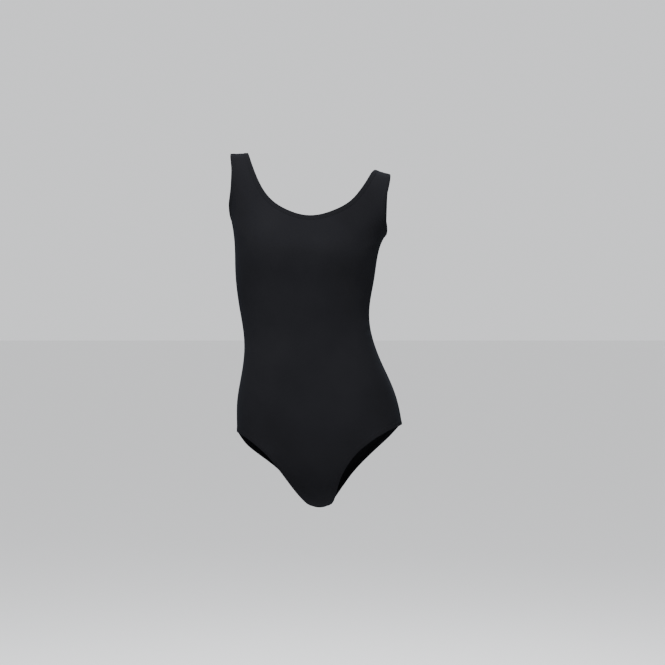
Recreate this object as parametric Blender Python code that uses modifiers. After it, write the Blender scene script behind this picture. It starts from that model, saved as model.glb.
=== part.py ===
"""Tank leotard in stretch knit, worn: a front and a back with straps, and five elastic hems.

The cloth lies on a smooth general form. The form is a stack of oval sections, each tilted as the
worn garment is, that closes over the shoulders and under the crotch. A place on it is an angle
round the section, from the middle of the front or back (0) to the side (-90 left, 90 right), and
a distance down from the shoulder seam. Left and right are as seen from the front, in the names
too, so left is -X. The origin is midway between the tops of the two straps. The front faces -Y,
the back +Y, and +Z is up.
"""

import bmesh
import bpy
import numpy as np

MM = 0.001

# Driving sizes, in millimetres
CLOTH = 1.5
HEM_WIDTH = 8.0
HEM_THICK = 2.4
HEM_ROUNDING = 0.6
HEM_CORNER = 50.0  # degrees: the hem's corners sharper than this are rounded
SEAM_GAP = 0.3

# The form's sections, from the shoulder seam to the crotch seam. bow lifts the middle of a section
# above the line between its sides, and the last three columns give its depth.
SECTION_COLUMNS = "down left_x left_z right_x right_z bow front_y side_y back_y".split()
SECTIONS = np.array((
    (0, -184, 14, 184, -34, 21, 0, 0, 0),
    (20, -184, 11, 184, -37, 21, -28, 0, 28),
    (40, -184, 2, 184, -46, 21, -53, 0, 53),
    (60, -183, -14, 183, -62, 20, -71, 0, 73),
    (86, -180, -38, 181, -84, 17, -83, -1, 86),
    (112, -170, -66, 172, -107, 12, -91, -2, 92),
    (150, -157, -103, 147, -138, 6, -100, -4, 94),
    (205, -148, -160, 129, -182, 2, -109, -7, 91),
    (262, -146, -220, 122, -228, 0, -104, -9, 79),
    (322, -138, -285, 113.5, -278, 0, -98, -10, 67),
    (382, -129, -350, 116, -330, 0, -95, -10, 61),
    (440, -134, -410, 135.5, -388, 0, -101, -8, 71),
    (500, -143, -466, 162, -448, -1, -108, -6, 93),
    (560, -143, -525, 176, -512, -4, -107, -6, 103),
    (608, -138, -561, 172, -549, -20, -101, -5, 99),
    (648, -120, -574, 154, -566, -42, -89, -4, 87),
    (684, -97, -578, 131, -572, -67, -70, -4, 66),
    (712, -78, -578, 112, -574, -86, -44, -4, 35),
    (742, -63, -576, 97, -574, -97, -4, -4, -4),
), dtype=float)
LENGTH = SECTIONS[-1, 0]
FLAT_AT_ENDS = "left_x left_z right_x right_z bow side_y".split()
SQUARENESS = 0.05  # how far the ovals reach out between their middles and sides
SIDE_DEPTH = 90.0  # about how deep a section is at its side seam, to turn a gap into an angle

# The bust: how far it rises, its two places and its reach across and down
BUST_RISE = 13.0
BUST_ACROSS = 66.0
BUST_DOWN = 210.0
BUST_WIDTH = 54.0
BUST_HEIGHT = 66.0

# The openings' edges on the left half and the right half of each face, as (angle, down), each from
# the shoulder or crotch seam to where it runs level, at the middle of the neck or at the side
STRAP_INNER = {"left": -39.5, "right": 40.2}
STRAP_OUTER = {"left": -55.0, "right": 53.5}
CROTCH_EDGE = {"left": -16.0, "right": 16.0}
UNDERARM_DOWN = 150.0
LEG_TOP = {"left": 560.0, "right": 559.0}
FRONT_NECK = (-2.0, 145.3)
BACK_NECK = (0.0, 178.0)
EDGES = {
    ("front", "neck", "left"): ((-37, 47), (-33, 84), (-30, 106), (-23.8, 126), (-14, 139.5)),
    ("front", "neck", "right"): ((38, 32), (34, 62), (30, 85), (24, 110), (16, 129), (7, 141.5)),
    ("front", "arm", "left"): ((-54, 40), (-53.2, 75), (-58.8, 104), (-73, 132)),
    ("front", "arm", "right"): ((52, 55), (49.8, 85), (52.8, 114), (68, 138)),
    ("front", "leg", "left"): (
        (-20.5, 708), (-25, 682), (-29, 648), (-34.5, 611), (-43.5, 587), (-58, 568), (-74, 561)),
    ("front", "leg", "right"): (
        (16.5, 700), (16.3, 664), (19, 630), (24, 606), (32.5, 586), (47.5, 568), (62, 561), (76, 559)),
    ("back", "neck", "left"): ((-40, 40), (-39, 80), (-35.5, 120), (-28, 151), (-15, 172)),
    ("back", "neck", "right"): ((40.5, 40), (39, 80), (35.5, 120), (28, 151), (15, 172)),
    ("back", "arm", "left"): ((-54, 40), (-53, 80), (-59, 115), (-73, 140)),
    ("back", "arm", "right"): ((53, 40), (52, 80), (57, 115), (71, 140)),
    ("back", "leg", "left"): (
        (-22, 716), (-30, 690), (-38, 660), (-46, 632), (-56, 606), (-68, 582), (-80, 565)),
    ("back", "leg", "right"): (
        (20, 713), (26.5, 684), (33, 652), (40.5, 624), (50, 599), (62, 577), (76, 562)),
}

# Going along an edge from the shoulder or crotch seam, as seen from the front, the cloth lies to
# the left (1) or to the right (-1)
CLOTH_SIDE = {
    ("neck", "left"): -1, ("neck", "right"): 1,
    ("arm", "left"): 1, ("arm", "right"): -1,
    ("leg", "left"): -1, ("leg", "right"): 1,
}

# How finely the pieces are divided
ROWS = {
    ("front", "neck"): 12, ("front", "arm"): 15, ("front", "leg"): 17,
    ("back", "neck"): 17, ("back", "arm"): 15, ("back", "leg"): 17,
}
SIDE_ROWS = 22
COLUMNS = 8
EDGE_BUNCHING = 0.1  # makes the columns along the edges narrower than the others
MIDDLE_AT_LEG_TOP = 500.0  # how far down the middle is, in the row that ends at the leg tops
SLOPE_STEP = 0.5  # the step, in degrees and in millimetres, to find the form's slopes over
SAME_POINT = 0.01


def spline(knots, values, at, start=None, end=None):
    """A smooth cubic through the values, with a given slope at an end or a straight end."""
    knots = np.asarray(knots, float)
    values = np.asarray(values, float)
    steps = np.diff(knots)
    rises = np.diff(values) / steps
    count = len(knots)
    matrix = np.zeros((count, count))
    right = np.zeros(count)
    for i in range(1, count - 1):
        matrix[i, i - 1:i + 2] = steps[i], 2 * (steps[i - 1] + steps[i]), steps[i - 1]
        right[i] = 3 * (steps[i] * rises[i - 1] + steps[i - 1] * rises[i])
    for row, near, rise, slope in ((0, 1, rises[0], start), (count - 1, count - 2, rises[-1], end)):
        matrix[row, row] = 1 if slope is not None else 2
        matrix[row, near] = 0 if slope is not None else 1
        right[row] = slope if slope is not None else 3 * rise
    slopes = np.linalg.solve(matrix, right)
    at = np.clip(at, knots[0], knots[-1])
    i = np.clip(np.searchsorted(knots, at, side="right") - 1, 0, count - 2)
    t = (at - knots[i]) / steps[i]
    return (
        values[i] * (1 + 2 * t) * (1 - t) ** 2
        + values[i + 1] * (3 - 2 * t) * t ** 2
        + steps[i] * t * (1 - t) * (slopes[i] * (1 - t) - slopes[i + 1] * t)
    )


def section(down):
    """The form's section at a distance down, as a value or array for each column."""
    found = {}
    for i, name in enumerate(SECTION_COLUMNS):
        slope = 0.0 if name in FLAT_AT_ENDS else None
        found[name] = spline(SECTIONS[:, 0], SECTIONS[:, i], down, slope, slope)
    return found


def form(face, angle, down):
    """The place in mm on the front or back of the form, for arrays of angles and distances."""
    angle = np.radians(np.asarray(angle, float))
    down = np.asarray(down, float)
    s = section(down)
    square = 1 + SQUARENESS * np.sin(2 * angle) ** 2
    across = np.sin(angle) * square
    half = (s["right_x"] - s["left_x"]) / 2
    x = (s["right_x"] + s["left_x"]) / 2 + half * across
    tilt = (s["right_z"] - s["left_z"]) / 2
    z = (s["right_z"] + s["left_z"]) / 2 + tilt * across + s["bow"] * (1 - across ** 2)
    depth = s["front_y"] - s["side_y"] if face == "front" else s["back_y"] - s["side_y"]
    y = s["side_y"] + depth * np.cos(angle) * square
    if face == "front":
        for middle in (-BUST_ACROSS, BUST_ACROSS):
            aside = (half * across - middle) / BUST_WIDTH
            below = (down - BUST_DOWN) / BUST_HEIGHT
            y = y - BUST_RISE * np.exp(-aside ** 2 - below ** 2) * np.cos(angle)
    return np.stack([x, y, z], axis=-1)


def face_frame(face, line):
    """The form at each (angle, down) of a line: its place, its two slopes and its outward normal."""
    angle, down = line.T
    right = angle + SLOPE_STEP
    left = angle - SLOPE_STEP
    above = np.clip(down - SLOPE_STEP, 0, LENGTH)
    below = np.clip(down + SLOPE_STEP, 0, LENGTH)
    place = form(face, angle, down)
    by_angle = (form(face, right, down) - form(face, left, down)) / (right - left)[:, None]
    by_down = (form(face, angle, below) - form(face, angle, above)) / (below - above)[:, None]
    normal = np.cross(by_down, by_angle) if face == "front" else np.cross(by_angle, by_down)
    return place, by_angle, by_down, normal / np.linalg.norm(normal, axis=1)[:, None]


def edge(face, opening, side, count):
    """The finished edge of half an opening on a face, as rows (angle, down) at equal steps."""
    at_side = 90 if side == "right" else -90
    start, end = {
        "neck": ((STRAP_INNER[side], 0), FRONT_NECK if face == "front" else BACK_NECK),
        "arm": ((STRAP_OUTER[side], 0), (at_side, UNDERARM_DOWN)),
        "leg": ((CROTCH_EDGE[side], LENGTH), (at_side, LEG_TOP[side])),
    }[opening]
    rows = np.array((start, *EDGES[face, opening, side], end), float)
    steps = np.diff(form(face, rows[:, 0], rows[:, 1]), axis=0)
    knots = np.concatenate([[0], np.cumsum(np.linalg.norm(steps, axis=1))])
    at = np.linspace(0, knots[-1], count)
    angle = spline(knots, rows[:, 0], at, start=0)
    down = spline(knots, rows[:, 1], at, end=0)
    return np.stack([angle, down], axis=1)


def inset(face, opening, side, line, width):
    """An opening's edge moved into the cloth by a width, along the form."""
    place, by_angle, by_down, normal = face_frame(face, line)
    run = np.gradient(place, axis=0)
    run[0] *= (0, 1, 0)
    run[-1] *= (1, 0, 0) if opening == "neck" else (0, 1, 0)
    move = np.cross(normal, run)
    way = CLOTH_SIDE[opening, side] * (1 if face == "front" else -1)
    move *= way * width / np.linalg.norm(move, axis=1)[:, None]
    aa = (by_angle * by_angle).sum(1)
    ad = (by_angle * by_down).sum(1)
    dd = (by_down * by_down).sum(1)
    am = (by_angle * move).sum(1)
    dm = (by_down * move).sum(1)
    change = np.stack([dd * am - ad * dm, aa * dm - ad * am], axis=1)
    moved = line + change / (aa * dd - ad ** 2)[:, None]
    moved[0, 1] = line[0, 1]
    moved[-1, 0] = line[-1, 0]
    return moved


def half_grid(face, side):
    """Rows of (angle, down) across half a face, from the middle to the opening or side seam."""
    width = HEM_WIDTH + SEAM_GAP
    arm = inset(face, "arm", side, edge(face, "arm", side, ROWS[face, "arm"]), width)
    neck = inset(face, "neck", side, edge(face, "neck", side, ROWS[face, "neck"]), width)
    leg = inset(face, "leg", side, edge(face, "leg", side, ROWS[face, "leg"]), width)[::-1]
    seam = np.linspace(arm[-1], leg[0], SIDE_ROWS + 1)[1:-1]
    outer = np.concatenate([arm, seam, leg])
    turn = np.array([0, MIDDLE_AT_LEG_TOP])
    body = np.linspace(neck[-1], turn, len(arm) + SIDE_ROWS - len(neck) + 1)[1:]
    crotch = np.linspace(turn, (0, LENGTH), len(leg))[1:]
    inner = np.concatenate([neck, body, crotch])
    even = np.linspace(0, 1, COLUMNS + 1)
    share = even - EDGE_BUNCHING * np.sin(2 * np.pi * even)
    grid = inner[:, None] + (outer - inner)[:, None] * share[:, None]
    gap = SEAM_GAP / 2
    side_trim = np.degrees(gap / SIDE_DEPTH)
    grid[..., 0] = np.clip(grid[..., 0], side_trim - 90, 90 - side_trim)
    grid[..., 1] = np.clip(grid[..., 1], gap, LENGTH - gap)
    return grid


def quads(rows, columns, first=0, closed=False, flip=False):
    """Faces over a grid of points that are numbered row by row from first."""
    faces = []
    for r in range(rows if closed else rows - 1):
        for c in range(columns - 1):
            a = first + r * columns + c
            b = first + (r + 1) % rows * columns + c
            face = (a, b, b + 1, a + 1)
            faces.append(face[::-1] if flip else face)
    return faces


def shell(name, points, faces, thickness, material, collection):
    """An object whose open surface lies on the form and is thickened outwards."""
    mesh = bpy.data.meshes.new(name)
    mesh.from_pydata(points * MM, [], faces)
    work = bmesh.new()
    work.from_mesh(mesh)
    bmesh.ops.remove_doubles(work, verts=work.verts, dist=SAME_POINT * MM)
    work.to_mesh(mesh)
    work.free()
    mesh.materials.append(material)
    mesh.shade_smooth()
    piece = bpy.data.objects.new(name, mesh)
    collection.objects.link(piece)
    wall = piece.modifiers.new("Wall", "SOLIDIFY")
    wall.thickness = thickness * MM
    wall.offset = 1
    return piece


def panel(face, material, collection):
    """The front or the back, in one piece with its two straps."""
    points = []
    faces = []
    for side in ("left", "right"):
        grid = half_grid(face, side)
        rows, columns = grid.shape[:2]
        outward = (side == "right") == (face == "front")
        faces += quads(rows, columns, first=len(points) * rows * columns, flip=not outward)
        points.append(form(face, grid[..., 0], grid[..., 1]).reshape(-1, 3))
    shell(f"{face}_panel", np.concatenate(points), faces, CLOTH, material, collection)


def hem(name, opening, halves, material, collection):
    """The elastic hem round an opening, from its halves in order, each a face and a side."""
    ring = []
    for i, (face, side) in enumerate(halves):
        line = edge(face, opening, side, ROWS[face, opening])
        lines = (line, inset(face, opening, side, line, HEM_WIDTH))
        half = np.stack([form(face, each[:, 0], each[:, 1]) for each in lines], axis=1)
        ring.append(half[:-1] if i % 2 == 0 else half[:0:-1])
    ring = np.concatenate(ring)
    flip = CLOTH_SIDE[opening, halves[0][1]] < 0
    faces = quads(len(ring), 2, closed=True, flip=flip)
    piece = shell(name, ring.reshape(-1, 3), faces, HEM_THICK, material, collection)
    rounding = piece.modifiers.new("Rounding", "BEVEL")
    rounding.width = HEM_ROUNDING * MM
    rounding.segments = 1
    rounding.limit_method = "ANGLE"
    rounding.angle_limit = np.radians(HEM_CORNER)


def knit(name, colour, roughness):
    """A matt stretch knit."""
    material = bpy.data.materials.new(name)
    material.use_nodes = True
    shader = material.node_tree.nodes["Principled BSDF"]
    shader.inputs["Base Color"].default_value = (*colour, 1)
    shader.inputs["Roughness"].default_value = roughness
    shader.inputs["Metallic"].default_value = 0
    return material


def main():
    for existing in list(bpy.data.objects):
        bpy.data.objects.remove(existing)
    leotard = bpy.data.collections.new("tank_leotard")
    bpy.context.scene.collection.children.link(leotard)
    body_knit = knit("body_knit", (0.010, 0.012, 0.016), 0.55)
    hem_knit = knit("hem_knit", (0.008, 0.009, 0.012), 0.65)
    for face in ("front", "back"):
        panel(face, body_knit, leotard)
    neck = (("front", "left"), ("front", "right"), ("back", "right"), ("back", "left"))
    hem("neck_hem", "neck", neck, hem_knit, leotard)
    for side in ("left", "right"):
        halves = (("front", side), ("back", side))
        hem(f"{side}_arm_hem", "arm", halves, hem_knit, leotard)
        hem(f"{side}_leg_hem", "leg", halves, hem_knit, leotard)


main()
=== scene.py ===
"""Looks of the tank leotard: knit cloth, elastic hems and sewing, with floor, light and camera.

The cloth lies on the same form as the solids in part.py: a stack of tilted oval sections that
closes over the shoulders and under the crotch. A place on it is an angle round the section, from
the middle of the front or back (0) to the side (-90 left, 90 right), and a distance down from the
shoulder seam. Left and right are as seen from the front, which faces -Y. Sizes are in millimetres,
and a height is how far something stands out from the form.
"""

import bmesh
import bpy
import numpy as np
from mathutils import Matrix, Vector
from mathutils.kdtree import KDTree


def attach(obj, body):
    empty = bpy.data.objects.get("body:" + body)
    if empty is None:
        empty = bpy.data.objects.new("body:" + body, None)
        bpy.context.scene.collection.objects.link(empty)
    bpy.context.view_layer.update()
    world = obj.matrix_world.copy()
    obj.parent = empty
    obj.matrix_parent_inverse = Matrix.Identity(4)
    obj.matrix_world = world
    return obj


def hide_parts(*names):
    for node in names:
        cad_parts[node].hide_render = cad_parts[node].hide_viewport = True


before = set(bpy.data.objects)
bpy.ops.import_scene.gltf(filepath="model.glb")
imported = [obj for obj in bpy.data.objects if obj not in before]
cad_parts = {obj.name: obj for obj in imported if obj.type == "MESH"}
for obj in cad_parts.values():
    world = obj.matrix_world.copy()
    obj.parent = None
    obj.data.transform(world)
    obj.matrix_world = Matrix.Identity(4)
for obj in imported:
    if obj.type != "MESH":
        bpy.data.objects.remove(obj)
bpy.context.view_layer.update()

MM = 0.001

# The form, as in part.py
HEM_WIDTH = 8.0
SECTION_COLUMNS = "down left_x left_z right_x right_z bow front_y side_y back_y".split()
SECTIONS = np.array((
    (0, -184, 14, 184, -34, 21, 0, 0, 0),
    (20, -184, 11, 184, -37, 21, -28, 0, 28),
    (40, -184, 2, 184, -46, 21, -53, 0, 53),
    (60, -183, -14, 183, -62, 20, -71, 0, 73),
    (86, -180, -38, 181, -84, 17, -83, -1, 86),
    (112, -170, -66, 172, -107, 12, -91, -2, 92),
    (150, -157, -103, 147, -138, 6, -100, -4, 94),
    (205, -148, -160, 129, -182, 2, -109, -7, 91),
    (262, -146, -220, 122, -228, 0, -104, -9, 79),
    (322, -138, -285, 113.5, -278, 0, -98, -10, 67),
    (382, -129, -350, 116, -330, 0, -95, -10, 61),
    (440, -134, -410, 135.5, -388, 0, -101, -8, 71),
    (500, -143, -466, 162, -448, -1, -108, -6, 93),
    (560, -143, -525, 176, -512, -4, -107, -6, 103),
    (608, -138, -561, 172, -549, -20, -101, -5, 99),
    (648, -120, -574, 154, -566, -42, -89, -4, 87),
    (684, -97, -578, 131, -572, -67, -70, -4, 66),
    (712, -78, -578, 112, -574, -86, -44, -4, 35),
    (742, -63, -576, 97, -574, -97, -4, -4, -4),
), dtype=float)
LENGTH = SECTIONS[-1, 0]
FLAT_AT_ENDS = "left_x left_z right_x right_z bow side_y".split()
SQUARENESS = 0.05
SIDE_DEPTH = 90.0
BUST_RISE = 13.0
BUST_ACROSS = 66.0
BUST_DOWN = 210.0
BUST_WIDTH = 54.0
BUST_HEIGHT = 66.0
SLOPE_STEP = 0.5

# The openings' edges, as in part.py
STRAP_INNER = {"left": -39.5, "right": 40.2}
STRAP_OUTER = {"left": -55.0, "right": 53.5}
CROTCH_EDGE = {"left": -16.0, "right": 16.0}
UNDERARM_DOWN = 150.0
LEG_TOP = {"left": 560.0, "right": 559.0}
FRONT_NECK = (-2.0, 145.3)
BACK_NECK = (0.0, 178.0)
EDGES = {
    ("front", "neck", "left"): ((-37, 47), (-33, 84), (-30, 106), (-23.8, 126), (-14, 139.5)),
    ("front", "neck", "right"): ((38, 32), (34, 62), (30, 85), (24, 110), (16, 129), (7, 141.5)),
    ("front", "arm", "left"): ((-54, 40), (-53.2, 75), (-58.8, 104), (-73, 132)),
    ("front", "arm", "right"): ((52, 55), (49.8, 85), (52.8, 114), (68, 138)),
    ("front", "leg", "left"): (
        (-20.5, 708), (-25, 682), (-29, 648), (-34.5, 611), (-43.5, 587), (-58, 568), (-74, 561)),
    ("front", "leg", "right"): (
        (16.5, 700), (16.3, 664), (19, 630), (24, 606), (32.5, 586), (47.5, 568), (62, 561), (76, 559)),
    ("back", "neck", "left"): ((-40, 40), (-39, 80), (-35.5, 120), (-28, 151), (-15, 172)),
    ("back", "neck", "right"): ((40.5, 40), (39, 80), (35.5, 120), (28, 151), (15, 172)),
    ("back", "arm", "left"): ((-54, 40), (-53, 80), (-59, 115), (-73, 140)),
    ("back", "arm", "right"): ((53, 40), (52, 80), (57, 115), (71, 140)),
    ("back", "leg", "left"): (
        (-22, 716), (-30, 690), (-38, 660), (-46, 632), (-56, 606), (-68, 582), (-80, 565)),
    ("back", "leg", "right"): (
        (20, 713), (26.5, 684), (33, 652), (40.5, 624), (50, 599), (62, 577), (76, 562)),
}
CLOTH_SIDE = {
    ("neck", "left"): -1, ("neck", "right"): 1,
    ("arm", "left"): 1, ("arm", "right"): -1,
    ("leg", "left"): -1, ("leg", "right"): 1,
}
OPENINGS = {
    "neck": ("neck", (("front", "left"), ("front", "right"), ("back", "right"), ("back", "left"))),
    "left_arm": ("arm", (("front", "left"), ("back", "left"))),
    "right_arm": ("arm", (("front", "right"), ("back", "right"))),
    "left_leg": ("leg", (("front", "left"), ("back", "left"))),
    "right_leg": ("leg", (("front", "right"), ("back", "right"))),
}

# The cloth: its inside's height and its thickness, how far it stays from an opening's edge, under
# the hem, and how finely it is divided
CLOTH_INSIDE = 0.5
CLOTH = 0.8
UNDER_HEM = 6.6
ROWS = {
    ("front", "neck"): 67, ("front", "arm"): 85, ("front", "leg"): 97,
    ("back", "neck"): 97, ("back", "arm"): 85, ("back", "leg"): 97,
}
SIDE_ROWS = 132
COLUMNS = 60
SIDE_BUNCHING = 0.13
SIDE_BUNCHING_POWER = 7
MIDDLE_AT_LEG_TOP = 500.0
CUT_GAP = 0.1
MERGE_WITHIN = 0.01
EDGE_POINTS = 60

# Creases of the worn cloth. Each one's middle is at (across, down); it runs its reach to both
# sides, falls to the right by its turn in degrees, and its ends drop by its bend. One flank is
# steeper than the other by the skew.
ROUND = 115.0  # across, for each radian of angle
CREASE_SKEW = 0.3
CREASE_COLUMNS = "face across down reach turn bend width height".split()
CREASES = (
    ("front", -132, 172, 30, 26, 3, 5, 0.55),
    ("front", -126, 187, 36, 20, -4, 6, 0.7),
    ("front", -138, 205, 26, 12, 3, 5, -0.4),
    ("front", 130, 168, 28, -30, 3, 5, 0.5),
    ("front", 124, 183, 34, -22, 4, 6, 0.65),
    ("front", 136, 199, 24, -10, -3, 5, -0.45),
    ("front", -97, 104, 26, 76, 3, 5, 0.3),
    ("front", 91, 98, 24, -74, 3, 5, 0.3),
    ("front", -2, 206, 58, 1, 5, 17, 1.1),
    ("front", -68, 268, 34, 82, 4, 13, -0.6),
    ("front", 62, 264, 32, 98, 4, 12, -0.5),
    ("front", 148, 348, 32, -7, 4, 6, 0.6),
    ("front", 140, 369, 44, -9, 5, 7, 0.9),
    ("front", 146, 392, 38, -4, -4, 6, 0.75),
    ("front", 150, 415, 27, 2, 3, 6, 0.45),
    ("front", -150, 378, 26, 8, 3, 6, 0.4),
    ("front", -145, 403, 35, 5, -3, 7, 0.5),
    ("front", -4, 474, 74, 2, -7, 18, 0.4),
    ("front", -112, 553, 42, 22, -5, 7, 0.5),
    ("front", -85, 583, 46, 37, -6, 7, 0.6),
    ("front", -58, 622, 44, 53, -5, 6, 0.5),
    ("front", 108, 550, 40, -20, 5, 7, 0.45),
    ("front", 78, 579, 45, -39, 6, 7, 0.6),
    ("front", 50, 620, 42, -59, 5, 6, 0.5),
    ("front", -11, 698, 26, 84, 2, 5, 0.4),
    ("front", 9, 704, 23, 97, -2, 5, 0.35),
    ("back", -8, 336, 60, 3, 6, 8, 1.2),
    ("back", 12, 357, 86, -2, 9, 8, 1.9),
    ("back", -14, 379, 104, 2, 10, 9, 2.6),
    ("back", 8, 402, 92, -3, 8, 9, 2.1),
    ("back", -6, 425, 70, 3, 7, 8, 1.3),
    ("back", 22, 447, 46, -2, 5, 8, 0.7),
    ("back", -128, 366, 34, -9, -3, 6, 0.65),
    ("back", -134, 392, 30, -5, 3, 6, 0.55),
    ("back", 132, 359, 40, 10, 4, 6, 0.8),
    ("back", 128, 384, 46, 7, -4, 7, 1.05),
    ("back", 135, 409, 34, 4, 3, 6, 0.65),
    ("back", -126, 178, 32, 24, 3, 6, 0.5),
    ("back", -120, 197, 38, 16, -4, 6, 0.6),
    ("back", 124, 174, 30, -26, 3, 6, 0.5),
    ("back", 119, 192, 36, -18, 4, 6, 0.6),
    ("back", -36, 216, 36, -38, 3, 8, 0.45),
    ("back", 33, 219, 34, 40, 3, 8, 0.4),
    ("back", -106, 569, 46, 25, 7, 8, 0.7),
    ("back", -85, 598, 48, 36, -7, 8, 0.8),
    ("back", -62, 637, 44, 50, -6, 7, 0.65),
    ("back", 104, 566, 44, -24, -7, 8, 0.65),
    ("back", 83, 594, 48, -37, 7, 8, 0.8),
    ("back", 60, 634, 42, -52, 6, 7, 0.7),
    ("back", -10, 690, 34, 86, 3, 6, 0.5),
    ("back", 12, 696, 30, 95, -2, 6, 0.4),
)

# Slow unevenness all over the cloth, as waves: across and down lengths, start and height
SWAY_COLUMNS = "across down start height".split()
SWAYS = (
    (61, 83, 0.4, 0.09),
    (-47, 71, 1.9, 0.08),
    (97, -58, 3.1, 0.10),
    (33, 141, 4.4, 0.05),
    (-29, 52, 5.3, 0.04),
)

# A seam holds the cloth flat for a little way, draws it in along its line and puckers it
SEAM_HOLD = 13.0
SEAM_DIP = 0.4
SEAM_DIP_WIDTH = 1.5
SEAM_PUCKER = 0.07
SEAM_PUCKER_REACH = 6.0
SEAM_PUCKER_LENGTH = 7.0
SEAM_PUCKER_DRIFT = 2.0
SEAM_PUCKER_DRIFT_LENGTH = 2.3

# A hem's section, from the fold at the opening's edge (0) into the cloth, and its puckers. The
# size of the puckers swells and their spacing drifts, over lengths counted in puckers.
HEM_SPACING = 2.0
HEM_SECTION = (  # distance into the cloth, height
    (0.0, 1.0), (0.12, 1.45), (0.5, 1.8), (1.2, 2.0), (2.3, 2.06), (3.3, 1.98), (3.8, 1.83),
    (4.1, 1.79), (4.5, 1.87), (5.4, 1.96), (6.3, 1.89), (6.9, 1.73), (7.2, 1.67), (7.6, 1.7),
    (8.3, 1.62), (8.9, 1.5), (9.35, 1.3), (9.3, 0.85), (9.0, 0.55), (8.7, 0.1), (7.8, -0.1),
    (5.4, -0.12), (3.0, -0.1), (1.0, 0.04), (0.25, 0.5),
)
HEM_PUCKER = {"neck": 0.10, "arm": 0.12, "leg": 0.16}
HEM_PUCKER_LENGTH = 8.5
HEM_PUCKER_REACH = 7.0
HEM_PUCKER_LIMIT = 28.0
PUCKER_SIZE = 0.7
PUCKER_SWELL = 0.3
PUCKER_SWELL_LENGTH = 1.7
PUCKER_SWELL_START = 1.1
PUCKER_DRIFT = 1.8
PUCKER_DRIFT_LENGTH = 1.3
PUCKER_SHIVER = 0.9
PUCKER_SHIVER_RATE = 1.9

# Sewing: two rows of stitches on each hem, with the looper thread inside, and overlocked seams.
# A stitch is a few rings of points between two tips. Rows are (distance into the cloth, height).
THREAD = 0.34
THREAD_SIDES = 5
STITCH_SIDES = 6
STITCH_PITCH = 3.0
STITCH_LENGTH = 2.55
STITCH_TIP = (0.5, -0.22)  # run, in stitch lengths, and lift
STITCH_RINGS = ((-0.4, 0.8, -0.08), (0, 1.05, 0.04), (0.4, 0.8, -0.08))  # run, size and lift
STITCH_TILT = 0.02
STITCH_TURN = 0.05
STITCH_UNEVEN = 0.06
STITCH_SEED = 7
STITCH_ROWS = ((4.0, 1.89), (7.2, 1.77))
LOOPER_ROWS = ((4.0, -0.12), (7.4, -0.02))
LOOPER_PITCH = 1.5
ALLOWANCE_SECTION = (
    (-0.25, 0.6), (-0.25, -0.2), (0.7, -0.5), (3.2, -0.56), (5.6, -0.48), (6.3, -0.15), (6.4, 0.3),
    (6.2, 0.65), (0.25, 0.6),
)
OVERLOCK_ROWS = ((1.3, -0.62), (6.2, -0.4))
OVERLOCK_PITCH = 1.3
SEWN_SPACING = 2.5
SEAM_UNDER_HEM = 1.0
SEAM_END_POINTS = 9
SHOULDER_SEAM_POINTS = 14
CROTCH_SEAM_POINTS = 20

# Finish: the knit's columns and rows of loops, its fibres, and the thread's twist. The scales of
# the fibre, broad and twist patterns are for each metre.
WALE = 0.64
COURSE = 0.48
LOOP_SLANT = 1.6
LOOP_SHARE = 0.45
RIB_SHARE = 0.55
FIBRE_SCALE = 2600.0
FIBRE_DETAIL = 2.0
FIBRE_SHARE = 0.8
FIBRE_GLOSS = 0.06
KNIT_DEPTH = 0.09
BROAD_SCALE = 9.0
BROAD_DETAIL = 3.0
BROAD_TONE = (0.9, 1.1)
BROAD_GLOSS = 0.04
STITCH_TONE = 0.10
SPECULAR = 0.0  # on knit and thread; more gives the tops of the straps a light rim
SHEEN_ROUGHNESS = 0.45
SHEEN_TINT = (0.72, 0.82, 1.0, 1)
TWIST_SCALE = 1900.0
TWIST_DETAIL = 1.0
TWIST_TONE = (0.7, 1.35)
TWIST_BUMP = 0.4
TWIST_DEPTH = 0.05
THREAD_ROUGHNESS = 0.42
THREAD_SHEEN = 0.01
BODY_COLOUR = (0.0068, 0.0068, 0.0077)
HEM_COLOUR = (0.0067, 0.0067, 0.0076)
THREAD_COLOUR = (0.0083, 0.0084, 0.0093)

# Stage, in metres
PIXEL_MM = 1.95  # at the side seams, which are 12 mm in front of the origin
CAMERA = (0.041925, -3.012, -0.3315)
CAMERA_REACH = 3.0
FRAME_PIXELS = 665
SENSOR_MM = 36.0
FLOOR = -1.4
FLOOR_SIZE = 400.0
FLOOR_COLOUR = (0.85, 0.85, 0.85, 1)
FLOOR_ROUGHNESS = 0.9
WORLD_COLOUR = (0.97, 0.98, 1.0, 1)
WORLD_STRENGTH = 1.0
LIGHT_AIM = (0.02, 0, -0.3)
LIGHTS = (  # name, place, size, watts and colour
    ("key", (-0.3, -1.3, 1.25), 0.7, 112, (0.95, 0.96, 1.0)),
    ("fill", (1.2, -2.2, 0.5), 1.5, 14, (0.96, 0.98, 1.0)),
    ("back", (0.4, 1.3, 1.3), 0.7, 70, (0.95, 0.98, 1.0)),
)


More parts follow.
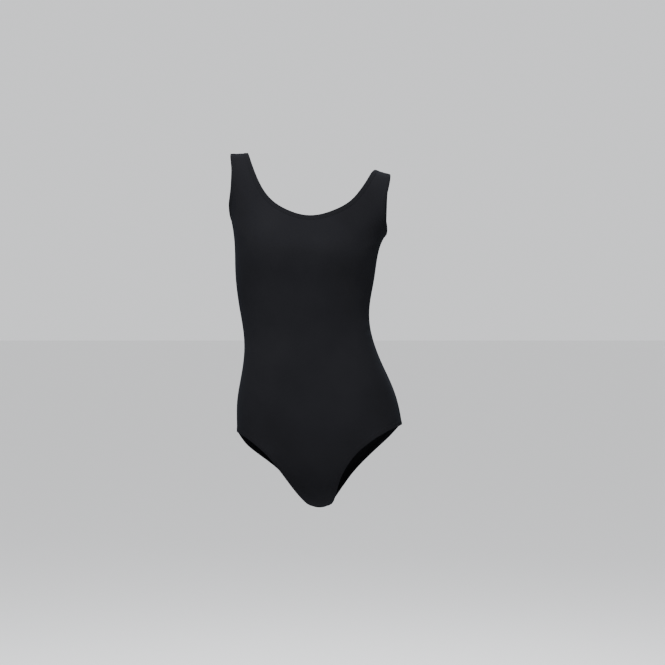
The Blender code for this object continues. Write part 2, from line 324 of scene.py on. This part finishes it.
def spline(knots, values, at, start=None, end=None):
    """A smooth cubic through the values, with a given slope at an end or a straight end."""
    knots = np.asarray(knots, float)
    values = np.asarray(values, float)
    steps = np.diff(knots)
    rises = np.diff(values) / steps
    count = len(knots)
    matrix = np.zeros((count, count))
    right = np.zeros(count)
    for i in range(1, count - 1):
        matrix[i, i - 1:i + 2] = steps[i], 2 * (steps[i - 1] + steps[i]), steps[i - 1]
        right[i] = 3 * (steps[i] * rises[i - 1] + steps[i - 1] * rises[i])
    for row, near, rise, slope in ((0, 1, rises[0], start), (count - 1, count - 2, rises[-1], end)):
        matrix[row, row] = 1 if slope is not None else 2
        matrix[row, near] = 0 if slope is not None else 1
        right[row] = slope if slope is not None else 3 * rise
    slopes = np.linalg.solve(matrix, right)
    at = np.clip(at, knots[0], knots[-1])
    i = np.clip(np.searchsorted(knots, at, side="right") - 1, 0, count - 2)
    t = (at - knots[i]) / steps[i]
    return (
        values[i] * (1 + 2 * t) * (1 - t) ** 2
        + values[i + 1] * (3 - 2 * t) * t ** 2
        + steps[i] * t * (1 - t) * (slopes[i] * (1 - t) - slopes[i + 1] * t)
    )


def section(down):
    """The form's section at a distance down, as a value or array for each column."""
    found = {}
    for i, name in enumerate(SECTION_COLUMNS):
        slope = 0.0 if name in FLAT_AT_ENDS else None
        found[name] = spline(SECTIONS[:, 0], SECTIONS[:, i], down, slope, slope)
    return found


def form(face, angle, down):
    """The place on the front or back of the form, for arrays of angles and distances."""
    angle = np.radians(np.asarray(angle, float))
    down = np.asarray(down, float)
    s = section(down)
    square = 1 + SQUARENESS * np.sin(2 * angle) ** 2
    across = np.sin(angle) * square
    half = (s["right_x"] - s["left_x"]) / 2
    x = (s["right_x"] + s["left_x"]) / 2 + half * across
    tilt = (s["right_z"] - s["left_z"]) / 2
    z = (s["right_z"] + s["left_z"]) / 2 + tilt * across + s["bow"] * (1 - across ** 2)
    depth = s["front_y"] - s["side_y"] if face == "front" else s["back_y"] - s["side_y"]
    y = s["side_y"] + depth * np.cos(angle) * square
    if face == "front":
        for middle in (-BUST_ACROSS, BUST_ACROSS):
            aside = (half * across - middle) / BUST_WIDTH
            below = (down - BUST_DOWN) / BUST_HEIGHT
            y = y - BUST_RISE * np.exp(-aside ** 2 - below ** 2) * np.cos(angle)
    return np.stack([x, y, z], axis=-1)


def face_frame(face, line):
    """The form at each (angle, down) of a line: its place, its two slopes and its outward normal."""
    angle, down = line.T
    right = angle + SLOPE_STEP
    left = angle - SLOPE_STEP
    above = np.clip(down - SLOPE_STEP, 0, LENGTH)
    below = np.clip(down + SLOPE_STEP, 0, LENGTH)
    place = form(face, angle, down)
    by_angle = (form(face, right, down) - form(face, left, down)) / (right - left)[:, None]
    by_down = (form(face, angle, below) - form(face, angle, above)) / (below - above)[:, None]
    normal = np.cross(by_down, by_angle) if face == "front" else np.cross(by_angle, by_down)
    return place, by_angle, by_down, normal / np.linalg.norm(normal, axis=1)[:, None]


def edge(face, opening, side, count):
    """The finished edge of half an opening on a face, as rows (angle, down) at equal steps."""
    at_side = 90 if side == "right" else -90
    start, end = {
        "neck": ((STRAP_INNER[side], 0), FRONT_NECK if face == "front" else BACK_NECK),
        "arm": ((STRAP_OUTER[side], 0), (at_side, UNDERARM_DOWN)),
        "leg": ((CROTCH_EDGE[side], LENGTH), (at_side, LEG_TOP[side])),
    }[opening]
    rows = np.array((start, *EDGES[face, opening, side], end), float)
    knots = along(form(face, rows[:, 0], rows[:, 1]))
    at = np.linspace(0, knots[-1], count)
    angle = spline(knots, rows[:, 0], at, start=0)
    down = spline(knots, rows[:, 1], at, end=0)
    return np.stack([angle, down], axis=1)


def along(points):
    """How far along a line each of its points is."""
    steps = np.linalg.norm(np.diff(points, axis=0), axis=1)
    return np.concatenate([[0], np.cumsum(steps)])


def shifted(face, line, move):
    """A line of (angle, down) moved along the form by a vector in mm for each of its points."""
    _, by_angle, by_down, _ = face_frame(face, line)
    aa = (by_angle * by_angle).sum(1)
    ad = (by_angle * by_down).sum(1)
    dd = (by_down * by_down).sum(1)
    am = (by_angle * move).sum(1)
    dm = (by_down * move).sum(1)
    change = np.stack([dd * am - ad * dm, aa * dm - ad * am], axis=1)
    return line + change / (aa * dd - ad ** 2)[:, None]


def inset(face, opening, side, line, width):
    """An opening's edge moved into the cloth by a width, along the form."""
    place, _, _, normal = face_frame(face, line)
    run = np.gradient(place, axis=0)
    run[0] *= (0, 1, 0)
    run[-1] *= (1, 0, 0) if opening == "neck" else (0, 1, 0)
    move = np.cross(normal, run)
    way = CLOTH_SIDE[opening, side] * (1 if face == "front" else -1)
    move *= way * width / np.linalg.norm(move, axis=1)[:, None]
    moved = shifted(face, line, move)
    moved[0, 1] = line[0, 1]
    moved[-1, 0] = line[-1, 0]
    return moved


def relief(face, line):
    """How far the worn cloth stands out from the form at each (angle, down) of a line."""
    angle, down = line.T
    across = np.radians(angle) * ROUND
    height = np.zeros(len(line))
    for row in CREASES:
        crease = dict(zip(CREASE_COLUMNS, row))
        if crease["face"] != face:
            continue
        turn = np.radians(crease["turn"])
        aside = across - crease["across"]
        below = down - crease["down"]
        run = (aside * np.cos(turn) + below * np.sin(turn)) / crease["reach"]
        off = below * np.cos(turn) - aside * np.sin(turn) - crease["bend"] * run ** 2
        off /= crease["width"]
        off *= 1 + CREASE_SKEW * np.tanh(off)
        height += crease["height"] * np.clip(1 - run ** 2, 0, 1) ** 2 * np.exp(-off ** 2)
    for row in SWAYS:
        sway = dict(zip(SWAY_COLUMNS, row))
        wave = across / sway["across"] + down / sway["down"]
        height += sway["height"] * np.sin(2 * np.pi * wave + sway["start"])
    to_side = np.radians(90 - np.abs(angle)) * SIDE_DEPTH
    to_seam = np.minimum(to_side, np.minimum(down, LENGTH - down))
    height *= 1 - np.exp(-(to_seam / SEAM_HOLD) ** 2)
    place = np.where(to_side <= to_seam, down, across) / SEAM_PUCKER_LENGTH
    drift = SEAM_PUCKER_DRIFT * np.sin(place / SEAM_PUCKER_DRIFT_LENGTH)
    pucker = np.sin(2 * np.pi * place + drift)
    height += SEAM_PUCKER * pucker * np.exp(-to_seam / SEAM_PUCKER_REACH)
    return height - SEAM_DIP * np.exp(-(to_seam / SEAM_DIP_WIDTH) ** 2)


def ring(name, inward):
    """The lines round an opening, a distance into the cloth: (face, rows of (angle, down))."""
    opening, halves = OPENINGS[name]
    lines = []
    for i, (face, side) in enumerate(halves):
        rough = edge(face, opening, side, EDGE_POINTS)
        length = along(form(face, rough[:, 0], rough[:, 1]))[-1]
        line = edge(face, opening, side, int(length / HEM_SPACING) + 1)
        line = inset(face, opening, side, line, inward)
        lines.append((face, line[:-1] if i % 2 == 0 else line[:0:-1]))
    return lines


def hem_pucker(name, distance):
    """How far a hem's puckers stand out, at distances along it."""
    at = np.asarray(distance) / HEM_PUCKER_LENGTH
    swell = PUCKER_SWELL * np.sin(at / PUCKER_SWELL_LENGTH + PUCKER_SWELL_START)
    size = HEM_PUCKER[OPENINGS[name][0]] * (PUCKER_SIZE + swell)
    drift = PUCKER_DRIFT * np.sin(at / PUCKER_DRIFT_LENGTH)
    shiver = PUCKER_SHIVER * np.sin(at * PUCKER_SHIVER_RATE)
    return size * np.sin(2 * np.pi * at + drift + shiver)


def on_ring(name, inward, height):
    """Points round an opening at a height over the worn cloth, with the normals there."""
    points = []
    normals = []
    for face, line in ring(name, inward):
        place, _, _, normal = face_frame(face, line)
        points.append(place + normal * (relief(face, line) + height)[:, None])
        normals.append(normal)
    points = np.concatenate(points)
    normals = np.concatenate(normals)
    points += normals * hem_pucker(name, along(points))[:, None] * min(1, inward / HEM_WIDTH)
    return points, normals


def grid_faces(rows, columns, closed_rows=False, closed_columns=False, flip=False):
    """The corners of the faces of a grid, as (row, column) pairs of arrays, round each face."""
    r, c = np.meshgrid(
        np.arange(rows if closed_rows else rows - 1),
        np.arange(columns if closed_columns else columns - 1),
        indexing="ij",
    )
    corners = [(r, c), (r + 1, c), (r + 1, c + 1), (r, c + 1)]
    return corners[::-1] if flip else corners


def make(name, parts, material):
    """A piece from parts, each (points, faces, face corners' places on the flat cloth or None)."""
    points = np.concatenate([part[0] for part in parts])
    first = np.cumsum([0] + [len(part[0]) for part in parts])
    faces = []
    flat = []
    for start, (_, part_faces, part_flat) in zip(first, parts):
        faces += [tuple(int(start) + int(i) for i in face) for face in part_faces]
        flat.append(part_flat)
    mesh = bpy.data.meshes.new(name)
    mesh.from_pydata(points * MM, [], faces)
    if flat[0] is not None:
        layer = mesh.uv_layers.new(name="Knit")
        layer.data.foreach_set("uv", (np.concatenate(flat) * MM).ravel())
    mesh.materials.append(material)
    mesh.shade_smooth()
    piece = bpy.data.objects.new(name, mesh)
    bpy.context.scene.collection.objects.link(piece)
    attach(piece, "root")
    return piece


def grid_part(points, flat, **options):
    """A part for make() from a grid of points and the places of its corners on the flat cloth."""
    rows, columns = points.shape[:2]
    corners = grid_faces(rows, columns, **options)
    faces = np.stack([(r % rows) * columns + c % columns for r, c in corners], axis=-1)
    places = np.stack([flat[r, c] for r, c in corners], axis=-2)
    return points.reshape(-1, 3), faces.reshape(-1, 4), places.reshape(-1, 2)


def half_grid(face, side):
    """Rows of (angle, down) across half a face, from the middle to the opening or side seam."""
    lines = {
        opening: inset(face, opening, side, edge(face, opening, side, ROWS[face, opening]), UNDER_HEM)
        for opening in ("neck", "arm", "leg")
    }
    arm = lines["arm"]
    neck = lines["neck"]
    leg = lines["leg"][::-1]
    seam = np.linspace(arm[-1], leg[0], SIDE_ROWS + 1)[1:-1]
    outer = np.concatenate([arm, seam, leg])
    turn = np.array([0, MIDDLE_AT_LEG_TOP])
    body = np.linspace(neck[-1], turn, len(arm) + SIDE_ROWS - len(neck) + 1)[1:]
    crotch = np.linspace(turn, (0, LENGTH), len(leg))[1:]
    inner = np.concatenate([neck, body, crotch])
    even = np.linspace(0, 1, COLUMNS + 1)
    share = even + SIDE_BUNCHING * (even - even ** SIDE_BUNCHING_POWER)
    grid = inner[:, None] + (outer - inner)[:, None] * share[:, None]
    side_trim = np.degrees(CUT_GAP / SIDE_DEPTH)
    grid[..., 0] = np.clip(grid[..., 0], side_trim - 90, 90 - side_trim)
    grid[..., 1] = np.clip(grid[..., 1], CUT_GAP, LENGTH - CUT_GAP)
    return grid


def hem_trees():
    """For each opening, a tree of the points where its hem ends on the cloth."""
    trees = {}
    for name in OPENINGS:
        points, _ = on_ring(name, HEM_WIDTH, 0)
        tree = KDTree(len(points))
        for i, point in enumerate(points):
            tree.insert(point, i)
        tree.balance()
        trees[name] = (tree, hem_pucker(name, along(points)))
    return trees


def panel(face, trees, material):
    """The front or the back: a thin shell on the form, with creases, and puckers by its hems."""
    parts = []
    for side in ("left", "right"):
        grid = half_grid(face, side)
        line = grid.reshape(-1, 2)
        place, _, _, normal = face_frame(face, line)
        height = relief(face, line) + CLOTH_INSIDE
        for tree, pucker in trees.values():
            for i, point in enumerate(place):
                _, near, distance = tree.find(point)
                if distance < HEM_PUCKER_LIMIT:
                    height[i] += pucker[near] * np.exp(-distance / HEM_PUCKER_REACH)
        points = (place + normal * height[:, None]).reshape(*grid.shape[:2], 3)
        flat = np.stack([np.radians(grid[..., 0]) * ROUND, -grid[..., 1]], axis=-1)
        outward = (side == "right") == (face == "front")
        parts.append(grid_part(points, flat, flip=not outward))
    piece = make(f"{face}_cloth", parts, material)
    work = bmesh.new()
    work.from_mesh(piece.data)
    bmesh.ops.remove_doubles(work, verts=work.verts, dist=MERGE_WITHIN * MM)
    work.to_mesh(piece.data)
    work.free()
    wall = piece.modifiers.new("Wall", "SOLIDIFY")
    wall.thickness = CLOTH * MM
    wall.offset = 1
    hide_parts(f"{face}_panel")
    return piece


def hem(name, material):
    """The turned elastic hem round an opening."""
    columns = [on_ring(name, inward, height)[0] for inward, height in HEM_SECTION]
    points = np.stack(columns, axis=1)
    loop = np.concatenate([points[:, 0], points[:1, 0]])
    section_loop = np.array(HEM_SECTION + HEM_SECTION[:1], float)
    flat = np.stack(np.meshgrid(along(loop), along(section_loop), indexing="ij"), axis=-1)
    opening, halves = OPENINGS[name]
    flip = CLOTH_SIDE[opening, halves[0][1]] < 0
    part = grid_part(points, flat, closed_rows=True, closed_columns=True, flip=flip)
    piece = make(f"{name}_hem_cloth", [part], material)
    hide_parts(f"{name}_hem")
    return piece


def resampled(points, normals, pitch):
    """A closed line's points and normals at equal steps of about a pitch."""
    points = np.concatenate([points, points[:1]])
    normals = np.concatenate([normals, normals[:1]])
    distance = along(points)
    count = 2 * round(distance[-1] / pitch / 2)
    at = np.arange(count) * distance[-1] / count
    found = [np.stack([np.interp(at, distance, rows[:, i]) for i in range(3)], axis=1)
             for rows in (points, normals)]
    return found[0], unit(found[1])


def unit(vectors):
    """The vectors at length 1."""
    return vectors / np.linalg.norm(vectors, axis=-1, keepdims=True)


def stitches(points, normals, random):
    """Short stitches of thread, one at each point of a closed line, sunk in at their ends."""
    tangent = unit(np.roll(points, -1, axis=0) - np.roll(points, 1, axis=0))
    tangent = unit(tangent + normals * random.normal(0, STITCH_TILT, (len(points), 1)))
    aside = unit(np.cross(normals, tangent))
    tangent = unit(tangent + aside * random.normal(0, STITCH_TURN, (len(points), 1)))
    sides = STITCH_SIDES
    turns = np.arange(sides) * 2 * np.pi / sides
    radius = THREAD / 2
    tip_run, tip_lift = STITCH_TIP
    shape = [(-tip_run, 0, 0, tip_lift)]
    for run, size, lift in STITCH_RINGS:
        shape += [(run, size * np.cos(t), size * np.sin(t), lift) for t in turns]
    shape.append((tip_run, 0, 0, tip_lift))
    shape = np.array(shape)
    length = STITCH_LENGTH * (1 + random.uniform(-STITCH_UNEVEN, STITCH_UNEVEN, len(points)))
    made = points[:, None] + tangent[:, None] * (shape[:, 0] * length[:, None])[..., None]
    made = made + aside[:, None] * (shape[:, 1] * radius)[None, :, None]
    made = made + normals[:, None] * (shape[:, 2] * radius + shape[:, 3])[None, :, None]
    faces = []
    for i in range(sides):
        j = (i + 1) % sides
        faces.append((0, 1 + j, 1 + i))
        faces.append((len(shape) - 1, 1 + 2 * sides + i, 1 + 2 * sides + j))
        for start in (1, 1 + sides):
            faces.append((start + i, start + j, start + sides + j, start + sides + i))
    many = [tuple(k * len(shape) + i for i in face) for k in range(len(points)) for face in faces]
    return made.reshape(-1, 3), many, None


def tube(points, normals, closed):
    """A thread along a line."""
    sides = THREAD_SIDES
    ahead = np.roll(points, -1, axis=0)
    behind = np.roll(points, 1, axis=0)
    if not closed:
        ahead[-1] = points[-1]
        behind[0] = points[0]
    tangent = unit(ahead - behind)
    aside = unit(np.cross(normals, tangent))
    up = np.cross(tangent, aside)
    turns = np.arange(sides) * 2 * np.pi / sides
    ringed = aside[:, None] * np.cos(turns)[:, None] + up[:, None] * np.sin(turns)[:, None]
    made = points[:, None] + ringed * THREAD / 2
    corners = grid_faces(len(points), sides, closed, True)
    faces = np.stack([(r % len(points)) * sides + c % sides for r, c in corners], axis=-1)
    faces = [tuple(face) for face in faces.reshape(-1, 4)]
    if not closed:
        last = (len(points) - 1) * sides
        faces.append(tuple(range(sides)))
        faces.append(tuple(range(last + sides - 1, last - 1, -1)))
    return made.reshape(-1, 3), faces, None


def zigzag(lines, normals, closed):
    """A thread that goes to and fro between two lines, from one point to the next."""
    points = np.where((np.arange(len(lines[0])) % 2 == 0)[:, None], lines[0], lines[1])
    return tube(points, normals, closed)


def hem_sewing(name, random, material):
    """Two rows of stitches on a hem's outside and the looper thread between them on its inside."""
    parts = []
    for inward, height in STITCH_ROWS:
        points, normals = resampled(*on_ring(name, inward, height), STITCH_PITCH)
        parts.append(stitches(points, normals, random))
    outer, inner = [on_ring(name, inward, height) for inward, height in LOOPER_ROWS]
    outer_points, normals = resampled(*outer, LOOPER_PITCH)
    loop = np.concatenate([inner[0], inner[0][:1]])
    at = np.arange(len(outer_points)) / len(outer_points) * along(loop)[-1]
    inner_points = np.stack([np.interp(at, along(loop), loop[:, i]) for i in range(3)], axis=1)
    parts.append(zigzag((outer_points, inner_points), normals, True))
    return make(f"{name}_hem_stitches", parts, material)


def seam_lines():
    """The seams between front and back, as rows (angle, down) on the back."""
    lines = {}
    under_hem = HEM_WIDTH - SEAM_UNDER_HEM
    for side, at_side in (("left", -90.0), ("right", 90.0)):
        top = UNDERARM_DOWN + under_hem
        end = LEG_TOP[side] - under_hem
        count = int((end - top) / SEWN_SPACING)
        lines[f"{side}_side"] = np.stack(
            [np.full(count, at_side), np.linspace(top, end, count)], axis=1)
        rims = {opening: edge("back", opening, side, SEAM_END_POINTS) for opening in ("neck", "arm")}
        ends = [inset("back", opening, side, line, under_hem)[0, 0] for opening, line in rims.items()]
        angles = np.linspace(*ends, SHOULDER_SEAM_POINTS)
        lines[f"{side}_shoulder"] = np.stack([angles, np.zeros(SHOULDER_SEAM_POINTS)], axis=1)
    rims = {side: edge("back", "leg", side, SEAM_END_POINTS) for side in ("left", "right")}
    ends = [inset("back", "leg", side, line, under_hem)[0, 0] for side, line in rims.items()]
    angles = np.linspace(*ends, CROTCH_SEAM_POINTS)
    lines["crotch"] = np.stack([angles, np.full(CROTCH_SEAM_POINTS, LENGTH)], axis=1)
    return lines


def behind(line, width, height):
    """A seam's line moved to the back by a width and out to a height, with the normals there."""
    moved = shifted("back", line, np.tile((0.0, max(width, 0.0), 0.0), (len(line), 1)))
    place, _, _, normal = face_frame("back", moved)
    place[:, 1] += min(width, 0.0)
    return place + normal * height, normal


def seam_sewing(cloth, thread):
    """The overlocked seam allowances inside, turned to the back, with their threads."""
    for name, line in seam_lines().items():
        columns = [behind(line, width, height)[0] for width, height in ALLOWANCE_SECTION]
        points = np.stack(columns, axis=1)
        section_loop = np.array(ALLOWANCE_SECTION + ALLOWANCE_SECTION[:1], float)
        flat = np.stack(
            np.meshgrid(along(points[:, 0]), along(section_loop), indexing="ij"), axis=-1)
        made, faces, places = grid_part(points, flat, closed_columns=True)
        count = len(ALLOWANCE_SECTION)
        caps = [tuple(range(count)), tuple(range(len(made) - 1, len(made) - count - 1, -1))]
        cap_places = np.concatenate([section_loop[:-1], section_loop[:-1][::-1]])
        part = (made, [*map(tuple, faces), *caps], np.concatenate([places, cap_places]))
        make(f"{name}_seam_allowance", [part], cloth)
        length = along(points[:, 0])[-1]
        at = np.linspace(0, length, int(length / OVERLOCK_PITCH))
        fine = np.stack([np.interp(at, along(points[:, 0]), line[:, i]) for i in range(2)], axis=1)
        (near, normals), (far, _) = [behind(fine, *row) for row in OVERLOCK_ROWS]
        parts = [zigzag((near, far), normals, False), tube(near, normals, False)]
        make(f"{name}_seam_overlock", parts, thread)


def math(tree, operation, first, second=0.0, third=0.0):
    """A math node's output, from numbers or other outputs."""
    node = tree.nodes.new("ShaderNodeMath")
    node.operation = operation
    for value, target in zip((first, second, third), node.inputs):
        if isinstance(value, bpy.types.NodeSocket):
            tree.links.new(value, target)
        else:
            target.default_value = value
    return node.outputs[0]


def noise(tree, vector, scale, detail):
    """A noise pattern of a scale in each metre, from 0 to 1."""
    node = tree.nodes.new("ShaderNodeTexNoise")
    node.inputs["Scale"].default_value = scale
    node.inputs["Detail"].default_value = detail
    tree.links.new(vector, node.inputs["Vector"])
    return node.outputs["Fac"]


def spread(tree, value, low, high):
    """A pattern from 0.3 to 0.7 spread over a range."""
    node = tree.nodes.new("ShaderNodeMapRange")
    tree.links.new(value, node.inputs["Value"])
    for name, number in (("From Min", 0.3), ("From Max", 0.7), ("To Min", low), ("To Max", high)):
        node.inputs[name].default_value = number
    return node.outputs["Result"]


def shader_of(name):
    """A new material, its node tree and its shader."""
    material = bpy.data.materials.new(name)
    material.use_nodes = True
    return material, material.node_tree, material.node_tree.nodes["Principled BSDF"]


def knit(name, colour, roughness, sheen, bump):
    """Fine jersey knit: columns of V-shaped loops, a little uneven in tone and gloss."""
    material, tree, shader = shader_of(name)
    where = tree.nodes.new("ShaderNodeUVMap")
    where.uv_map = "Knit"
    apart = tree.nodes.new("ShaderNodeSeparateXYZ")
    tree.links.new(where.outputs["UV"], apart.inputs[0])
    wale = math(tree, "MULTIPLY", apart.outputs["X"], 1 / (WALE * MM))
    course = math(tree, "MULTIPLY", apart.outputs["Y"], 1 / (COURSE * MM))
    leg = math(tree, "PINGPONG", wale, 0.5)
    rib = math(tree, "SINE", math(tree, "MULTIPLY", wale, 2 * np.pi))
    slanted = math(tree, "MULTIPLY_ADD", leg, LOOP_SLANT, course)
    loop = math(tree, "SINE", math(tree, "MULTIPLY", slanted, 2 * np.pi))
    stitch = math(tree, "MULTIPLY_ADD", loop, LOOP_SHARE, math(tree, "MULTIPLY", rib, RIB_SHARE))
    place = tree.nodes.new("ShaderNodeTexCoord").outputs["Object"]
    fibre = noise(tree, place, FIBRE_SCALE, FIBRE_DETAIL)
    height = math(tree, "MULTIPLY_ADD", fibre, FIBRE_SHARE, stitch)
    lump = tree.nodes.new("ShaderNodeBump")
    lump.inputs["Strength"].default_value = bump
    lump.inputs["Distance"].default_value = KNIT_DEPTH * MM
    tree.links.new(height, lump.inputs["Height"])
    tree.links.new(lump.outputs["Normal"], shader.inputs["Normal"])
    broad = noise(tree, place, BROAD_SCALE, BROAD_DETAIL)
    tone = math(tree, "MULTIPLY_ADD", stitch, STITCH_TONE, spread(tree, broad, *BROAD_TONE))
    mix = tree.nodes.new("ShaderNodeVectorMath")
    mix.operation = "SCALE"
    mix.inputs[0].default_value = colour
    tree.links.new(tone, mix.inputs["Scale"])
    tree.links.new(mix.outputs[0], shader.inputs["Base Color"])
    smoother = spread(tree, broad, roughness - BROAD_GLOSS, roughness)
    gloss = math(tree, "MULTIPLY_ADD", fibre, FIBRE_GLOSS, smoother)
    tree.links.new(gloss, shader.inputs["Roughness"])
    shader.inputs["Specular IOR Level"].default_value = SPECULAR
    shader.inputs["Sheen Weight"].default_value = sheen
    shader.inputs["Sheen Roughness"].default_value = SHEEN_ROUGHNESS
    shader.inputs["Sheen Tint"].default_value = SHEEN_TINT
    return material


def spun(name, colour):
    """Polyester thread with its twist."""
    material, tree, shader = shader_of(name)
    place = tree.nodes.new("ShaderNodeTexCoord").outputs["Object"]
    ply = noise(tree, place, TWIST_SCALE, TWIST_DETAIL)
    mix = tree.nodes.new("ShaderNodeVectorMath")
    mix.operation = "SCALE"
    mix.inputs[0].default_value = colour
    tree.links.new(spread(tree, ply, *TWIST_TONE), mix.inputs["Scale"])
    tree.links.new(mix.outputs[0], shader.inputs["Base Color"])
    lump = tree.nodes.new("ShaderNodeBump")
    lump.inputs["Strength"].default_value = TWIST_BUMP
    lump.inputs["Distance"].default_value = TWIST_DEPTH * MM
    tree.links.new(ply, lump.inputs["Height"])
    tree.links.new(lump.outputs["Normal"], shader.inputs["Normal"])
    shader.inputs["Roughness"].default_value = THREAD_ROUGHNESS
    shader.inputs["Specular IOR Level"].default_value = SPECULAR
    shader.inputs["Sheen Weight"].default_value = THREAD_SHEEN
    return material


def area_light(name, place, size, watts, colour):
    """A soft light that faces the middle of the garment."""
    data = bpy.data.lights.new(name, "AREA")
    data.shape = "DISK"
    data.size = size
    data.energy = watts
    data.color = colour
    light = bpy.data.objects.new(name, data)
    light.location = place
    aim = Vector(LIGHT_AIM) - light.location
    light.rotation_euler = aim.to_track_quat("-Z", "Y").to_euler()
    bpy.context.scene.collection.objects.link(light)


def stage():
    """The floor, the lights, the world and the camera."""
    mesh = bpy.data.meshes.new("floor")
    half = FLOOR_SIZE / 2
    corners = [(-half, -half, FLOOR), (half, -half, FLOOR), (half, half, FLOOR), (-half, half, FLOOR)]
    mesh.from_pydata(corners, [], [(0, 1, 2, 3)])
    material, _, shader = shader_of("pale_floor")
    shader.inputs["Base Color"].default_value = FLOOR_COLOUR
    shader.inputs["Roughness"].default_value = FLOOR_ROUGHNESS
    mesh.materials.append(material)
    floor = bpy.data.objects.new("floor", mesh)
    bpy.context.scene.collection.objects.link(floor)

    world = bpy.data.worlds.new("studio")
    world.use_nodes = True
    background = world.node_tree.nodes["Background"]
    background.inputs["Color"].default_value = WORLD_COLOUR
    background.inputs["Strength"].default_value = WORLD_STRENGTH
    bpy.context.scene.world = world
    for light in LIGHTS:
        area_light(*light)

    data = bpy.data.cameras.new("camera")
    data.sensor_width = SENSOR_MM
    data.lens = SENSOR_MM * CAMERA_REACH / (FRAME_PIXELS * PIXEL_MM * MM)
    camera = bpy.data.objects.new("camera", data)
    camera.location = CAMERA
    camera.rotation_euler = (np.pi / 2, 0, 0)
    bpy.context.scene.collection.objects.link(camera)
    bpy.context.scene.camera = camera


def main():
    """Make the cloth, the hems and the sewing, and set the stage."""
    body_knit = knit("body_knit_cloth", BODY_COLOUR, roughness=0.72, sheen=0.01, bump=0.35)
    hem_knit = knit("hem_knit_cloth", HEM_COLOUR, roughness=0.74, sheen=0.01, bump=0.45)
    thread = spun("black_thread", THREAD_COLOUR)
    random = np.random.default_rng(STITCH_SEED)
    trees = hem_trees()
    panels = {face: panel(face, trees, body_knit) for face in ("front", "back")}
    hems = {name: hem(name, hem_knit) for name in OPENINGS}
    sewn = {name: hem_sewing(name, random, thread) for name in OPENINGS}
    seam_sewing(body_knit, thread)
    stage()


main()
